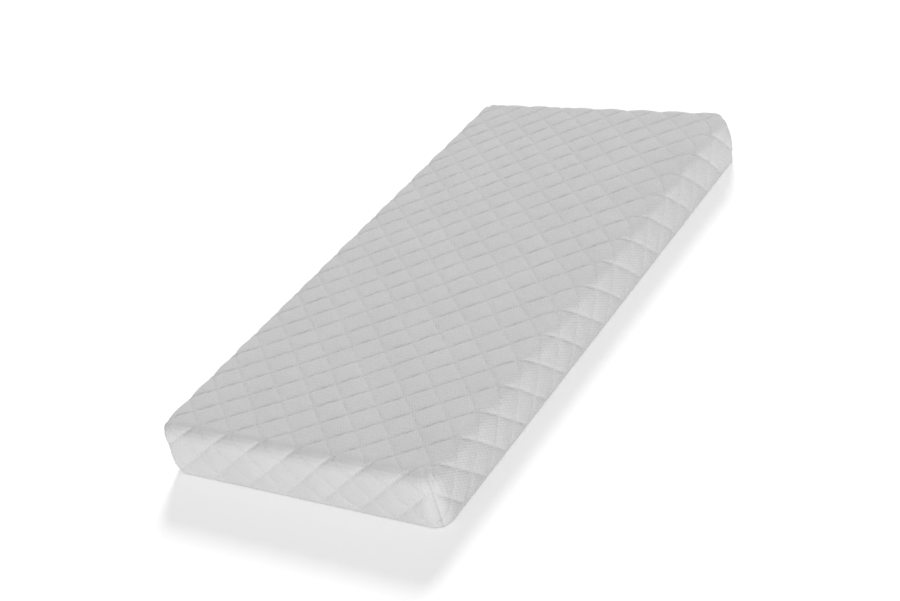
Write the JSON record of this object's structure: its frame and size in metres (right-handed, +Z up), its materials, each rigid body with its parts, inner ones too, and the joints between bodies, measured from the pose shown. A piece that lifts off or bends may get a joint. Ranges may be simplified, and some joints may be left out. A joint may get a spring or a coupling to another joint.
{
  "type": "memory foam cot mattress",
  "caption": "Memory foam cot mattress in a white diamond-quilted knit cover that zips off its base panel; the foam core lifts out.",
  "frame": {"origin": "middle of the underside, on the surface the mattress lies on", "axes": "+X across the width, +Y along the length towards the end with the zip opening, +Z up"},
  "size_m": [0.6, 1.2, 0.11],
  "materials": {
    "quilted_knit": "soft matt ribbed knit, quilted in diamonds",
    "wadding": "fluffy polyester wadding",
    "backing_fleece": "thin non-woven",
    "binding": "woven tape",
    "zip_tape": "herringbone woven tape",
    "zip_teeth": "nylon coil, slightly glossy",
    "zip_metal": "satin nickel",
    "memory_foam": "fine-celled slow foam",
    "support_foam": "open-celled foam",
    "tricot": "thin stretch tricot",
    "base_knit": "plain dense knit",
    "label_satin": "blank woven satin"
  },
  "bodies": {
    "base_cover": {"base_knit_panel": "base_knit", "base_wadding": "wadding", "base_backing": "backing_fleece", "base_seam_binding": "binding", "care_label": "label_satin", "lower_zip_tape": "zip_tape", "lower_zip_teeth": "zip_teeth", "lower_zip_stop": "zip_metal"},
    "foam_core": {"memory_foam_layer": "memory_foam", "support_foam_core": "support_foam", "tricot_sleeve": "tricot"},
    "top_cover": {"quilted_knit_face": "quilted_knit", "quilt_wadding": "wadding", "quilt_backing": "backing_fleece", "corner_seam_tapes": "binding", "hem_binding": "binding", "upper_zip_tape": "zip_tape", "upper_zip_teeth": "zip_teeth", "upper_zip_stop": "zip_metal"},
    "slider": {"zip_slider": "zip_metal"},
    "pull": {"zip_pull": "zip_metal"}
  },
  "joints": [
    {"name": "core_lift", "type": "slide", "parent": "base_cover", "child": "foam_core", "axis": [0, 0, 1], "range_m": [0, 0.2]},
    {"name": "cover_lift", "type": "slide", "parent": "foam_core", "child": "top_cover", "axis": [0, 0, 1], "range_m": [0, 0.25]},
    {"name": "slider_run", "type": "slide", "parent": "base_cover", "child": "slider", "axis": [-1, 0, 0], "range_m": [0, 0.4]},
    {"name": "pull_swing", "type": "hinge", "parent": "slider", "child": "pull", "pos_m": [0.2, 0.5973, 0.016], "axis": [0, 0, -1], "range_deg": [0, 170]}
  ]
}
